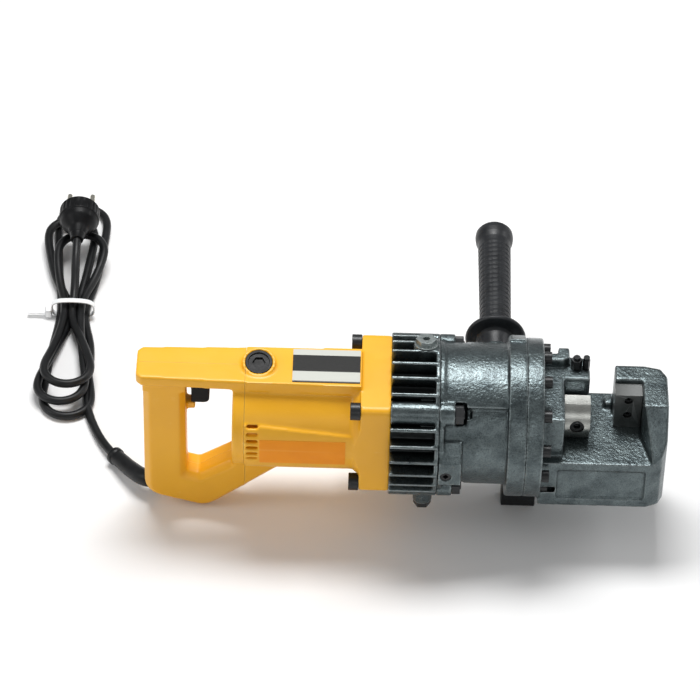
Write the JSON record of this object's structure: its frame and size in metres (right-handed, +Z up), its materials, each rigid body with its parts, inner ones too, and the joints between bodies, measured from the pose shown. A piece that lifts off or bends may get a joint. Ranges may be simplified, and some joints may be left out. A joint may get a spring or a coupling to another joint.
{
  "type": "rebar cutter",
  "caption": "Hand-held electric hydraulic rebar cutter with a D-handle, a finned oil housing, a side handle and a U-shaped jaw with a fixed and a moving blade.",
  "frame": {"origin": "on the underside of the stand foot, below the plane where the cylinder's flange meets the jaw head's flange", "axes": "+X along the tool's axis towards the jaw, +Z up with the tool standing on its foot and its D-handle, +Y towards the side handle"},
  "size_m": [0.515, 0.4018, 0.1639],
  "materials": {
    "housing_yellow": "moulded yellow nylon, satin, fine texture",
    "cast_grey": "grey-green painted casting",
    "black_steel": "black oxide",
    "bright_steel": "ground steel",
    "blade_steel": "ground tool steel",
    "black_plastic": "black moulded plastic",
    "nameplate_silver": "plain plate, no print",
    "badge_orange": "plain film, no print",
    "brass": "turned",
    "carbon": "carbon",
    "lamination": "stacked sheet",
    "winding": "enamelled copper",
    "alloy": "die cast",
    "plug_steel": "painted steel",
    "oil_rubber": "nitrile",
    "grip_rubber": "dark grey moulded rubber",
    "cord_rubber": "black rubber jacket",
    "tie_white": "natural nylon",
    "pin_metal": "nickel plated"
  },
  "bodies": {
    "housing": {"motor_housing": "housing_yellow", "handle_shell_near": "housing_yellow", "handle_shell_far": "housing_yellow", "handle_screws": "black_steel", "switch_body": "black_plastic", "nameplate": "nameplate_silver", "side_badge": "badge_orange", "brush_holders": "brass", "carbon_brushes": "carbon", "brush_caps": "black_plastic", "flange_bolts": "black_steel", "flange_nuts": "black_steel", "stator_core": "lamination", "field_coils": "winding", "rear_bearing": "bright_steel", "front_bearing": "bright_steel", "bearing_plate": "alloy", "oil_housing": "cast_grey", "filler_plug": "plug_steel", "drain_plug": "black_steel", "oil_bladder": "oil_rubber", "pump_block": "alloy", "pump_plunger": "bright_steel", "cylinder": "cast_grey", "return_spring": "bright_steel", "jaw_head": "cast_grey", "jaw_base": "cast_grey", "jaw_post": "cast_grey", "head_bolts": "black_steel", "rod_guide": "brass", "guide_screws": "black_steel", "stand_foot": "black_steel", "fixed_blade": "blade_steel", "fixed_blade_screws": "black_steel", "handle_boss": "cast_grey", "handle_stud": "bright_steel", "side_grip": "grip_rubber", "strain_relief": "cord_rubber", "cord_lead": "cord_rubber", "cord_hank": "cord_rubber", "cable_tie": "tie_white", "plug_body": "black_plastic", "plug_pins": "pin_metal"},
    "trigger": {"trigger": "black_plastic"},
    "ram": {"piston_rod": "bright_steel", "piston_seal": "oil_rubber", "moving_blade": "blade_steel", "blade_screw": "black_steel"},
    "armature": {"armature_shaft": "bright_steel", "armature_core": "lamination", "commutator": "brass", "cooling_fan": "black_plastic"},
    "crank": {"crank_gear": "bright_steel", "crank_bearing": "bright_steel"},
    "release_valve": {"release_screw": "black_steel"}
  },
  "joints": [
    {"name": "trigger_pull", "type": "slide", "parent": "housing", "child": "trigger", "axis": [-1, 0, 0], "range_m": [0, 0.006], "stiffness_N_per_m": 600, "springref_m": -0.004},
    {"name": "ram_slide", "type": "slide", "parent": "housing", "child": "ram", "axis": [1, 0, 0], "range_m": [0, 0.022], "stiffness_N_per_m": 3000, "springref_m": -0.01, "deforming": ["return_spring"]},
    {"name": "armature_spin", "type": "hinge", "parent": "housing", "child": "armature", "pos_m": [-0.17, 0.01103, 0.10703], "axis": [1, 0, 0], "continuous": true},
    {"name": "crank_spin", "type": "hinge", "parent": "housing", "child": "crank", "pos_m": [-0.1, 0, 0.096], "axis": [1, 0, 0], "continuous": true},
    {"name": "release_turn", "type": "hinge", "parent": "housing", "child": "release_valve", "pos_m": [-0.0605, -0.055, 0.087], "axis": [0, -1, 0], "range_deg": [0, 180]}
  ],
  "couplings": [
    {"joint": "crank_spin", "follows": "armature_spin", "ratio": -0.3}
  ]
}
